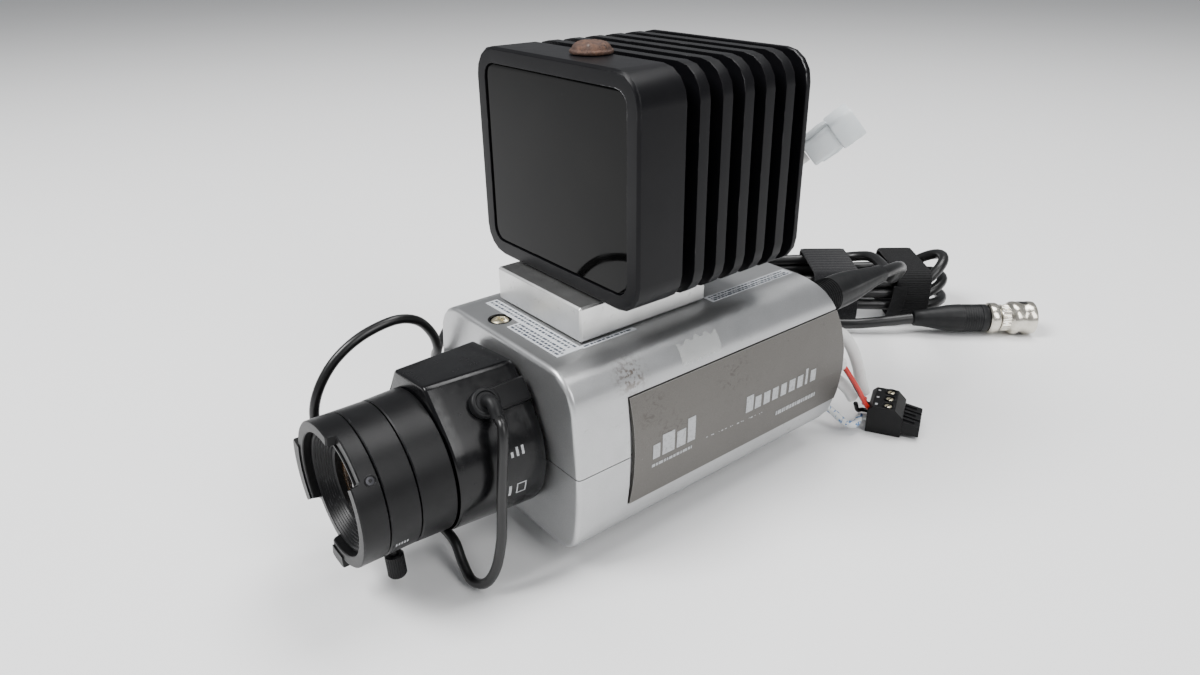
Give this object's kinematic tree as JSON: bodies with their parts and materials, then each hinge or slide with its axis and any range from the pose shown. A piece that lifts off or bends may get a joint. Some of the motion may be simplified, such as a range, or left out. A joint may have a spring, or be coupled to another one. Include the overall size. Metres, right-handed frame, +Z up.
{
  "type": "surveillance box camera with infrared lamp",
  "caption": "Box camera with an auto-iris zoom lens, a finned infrared lamp on a block on top, its bundled video lead and loose power wiring.",
  "frame": {"origin": "centre of the tripod adapter's bottom face, which the camera stands on", "axes": "+Z up, the lens looks along -Y, +X is the side that the lens's iris lead comes out of"},
  "size_m": [0.1229, 0.3042, 0.1376],
  "materials": {
    "silver_paint": "satin metallic silver paint",
    "plate_paint": "satin warm grey metallic paint",
    "black_anodised": "black anodised, satin",
    "milled_aluminium": "milled, bare",
    "black_plastic": "satin black moulded",
    "black_rubber": "satin black",
    "dark_window": "gloss, infrared-passing black",
    "coated_glass": "amber anti-reflection coating",
    "circuit_board": "green solder mask",
    "steel": "plain",
    "brass": "satin",
    "rusty_steel": "rusted",
    "nickel": "nickel plate",
    "white_nylon": "translucent white nylon",
    "white_sheath": "satin white sheath",
    "red_core": "satin red insulation",
    "hook_and_loop": "woven hook and loop tape"
  },
  "bodies": {
    "root": {"back_focus_motor": "steel", "black_wire": "black_rubber", "block_bolt": "steel", "camera_plug_boot": "black_rubber", "coax_hank": "black_rubber", "coax_lead": "black_rubber", "coax_tail": "black_rubber", "end_plug_body": "nickel", "end_plug_boot": "black_rubber", "front_lens": "coated_glass", "iris_cable": "black_rubber", "iris_gland": "black_rubber", "iris_plug": "black_plastic", "iris_socket": "black_plastic", "lamp_board": "circuit_board", "lamp_body": "black_anodised", "lamp_bolt": "rusty_steel", "lamp_connector": "white_nylon", "lamp_pigtail": "white_sheath", "lamp_rear_cover": "black_anodised", "lamp_window": "dark_window", "left_side_plate": "plate_paint", "lens_barrel": "black_plastic", "lens_case": "black_plastic", "lens_flange": "steel", "lens_mount_ring": "steel", "lower_shell": "silver_paint", "main_board": "circuit_board", "marked_wire": "white_sheath", "mounting_block": "milled_aluminium", "rear_lens": "coated_glass", "rear_panel": "black_plastic", "red_wire": "red_core", "right_side_plate": "plate_paint", "terminal_block": "black_plastic", "tie_strap_front": "hook_and_loop", "tie_strap_rear": "hook_and_loop", "top_screw": "brass", "tripod_adapter": "black_anodised", "upper_shell": "silver_paint", "video_socket": "nickel", "white_cable_lower": "white_sheath", "white_cable_upper": "white_sheath"},
    "focus_ring": {"focus_ring": "black_plastic"},
    "zoom_ring": {"zoom_ring": "black_plastic"},
    "zoom_lock_screw": {"zoom_lock_screw": "black_plastic"},
    "sensor_carriage": {"sensor_carriage": "black_plastic", "sensor_board": "circuit_board"},
    "back_focus_screw": {"back_focus_screw": "steel"},
    "iris_rotor": {"iris_rotor": "steel"},
    "iris_blade_upper": {"iris_blade_upper": "steel"},
    "iris_blade_lower": {"iris_blade_lower": "steel"},
    "camera_plug_nut": {"camera_plug_nut": "nickel"},
    "end_plug_nut": {"end_plug_nut": "nickel"},
    "button_up": {"button_up": "black_rubber"},
    "button_down": {"button_down": "black_rubber"},
    "button_left": {"button_left": "black_rubber"},
    "button_right": {"button_right": "black_rubber"},
    "button_set": {"button_set": "black_rubber"}
  },
  "joints": [
    {"name": "focus_turn", "type": "hinge", "parent": "root", "child": "focus_ring", "pos_m": [0.0005, -0.046, 0.0348], "axis": [0, 1, 0], "range_deg": [-60, 60]},
    {"name": "zoom_turn", "type": "hinge", "parent": "root", "child": "zoom_ring", "pos_m": [0.0005, -0.046, 0.0348], "axis": [0, 1, 0], "range_deg": [-65, 25]},
    {"name": "zoom_lock_turn", "type": "hinge", "parent": "zoom_ring", "child": "zoom_lock_screw", "pos_m": [0.0005, -0.0852, 0.0348], "axis": [0.1219, 0, -0.9925], "range_deg": [-360, 90]},
    {"name": "back_focus_turn", "type": "hinge", "parent": "root", "child": "back_focus_screw", "pos_m": [0.02, -0.04, 0.0348], "axis": [0, 1, 0], "range_deg": [-360, 360]},
    {"name": "back_focus_slide", "type": "slide", "parent": "root", "child": "sensor_carriage", "axis": [0, 1, 0], "range_m": [-0.0005, 0.0005]},
    {"name": "iris_turn", "type": "hinge", "parent": "root", "child": "iris_rotor", "pos_m": [0.00816, -0.046, 0.0492], "axis": [0, 1, 0], "range_deg": [0, 20]},
    {"name": "iris_upper_slide", "type": "slide", "parent": "root", "child": "iris_blade_upper", "axis": [-0.0958, 0, 0.9954], "range_m": [0, 0.003]},
    {"name": "iris_lower_slide", "type": "slide", "parent": "root", "child": "iris_blade_lower", "axis": [0.0958, 0, -0.9954], "range_m": [0, 0.003]},
    {"name": "camera_plug_turn", "type": "hinge", "parent": "root", "child": "camera_plug_nut", "pos_m": [0.02, 0.0495, 0.0482], "axis": [0, 1, 0], "range_deg": [0, 90]},
    {"name": "end_plug_turn", "type": "hinge", "parent": "root", "child": "end_plug_nut", "pos_m": [0.003, 0.161, 0.0073], "axis": [0.6337, 0.7736, 0], "continuous": true},
    {"name": "press_up", "type": "slide", "parent": "root", "child": "button_up", "axis": [0, -1, 0], "range_m": [0, 0.0005], "stiffness_N_per_m": 300},
    {"name": "press_down", "type": "slide", "parent": "root", "child": "button_down", "axis": [0, -1, 0], "range_m": [0, 0.0005], "stiffness_N_per_m": 300},
    {"name": "press_left", "type": "slide", "parent": "root", "child": "button_left", "axis": [0, -1, 0], "range_m": [0, 0.0005], "stiffness_N_per_m": 300},
    {"name": "press_right", "type": "slide", "parent": "root", "child": "button_right", "axis": [0, -1, 0], "range_m": [0, 0.0005], "stiffness_N_per_m": 300},
    {"name": "press_set", "type": "slide", "parent": "root", "child": "button_set", "axis": [0, -1, 0], "range_m": [0, 0.0005], "stiffness_N_per_m": 300}
  ],
  "couplings": [
    {"joint": "back_focus_turn", "follows": "back_focus_slide", "rad_per_m": 12566},
    {"joint": "iris_lower_slide", "follows": "iris_upper_slide", "ratio": 1},
    {"joint": "iris_turn", "follows": "iris_upper_slide", "rad_per_m": 116.3}
  ]
}
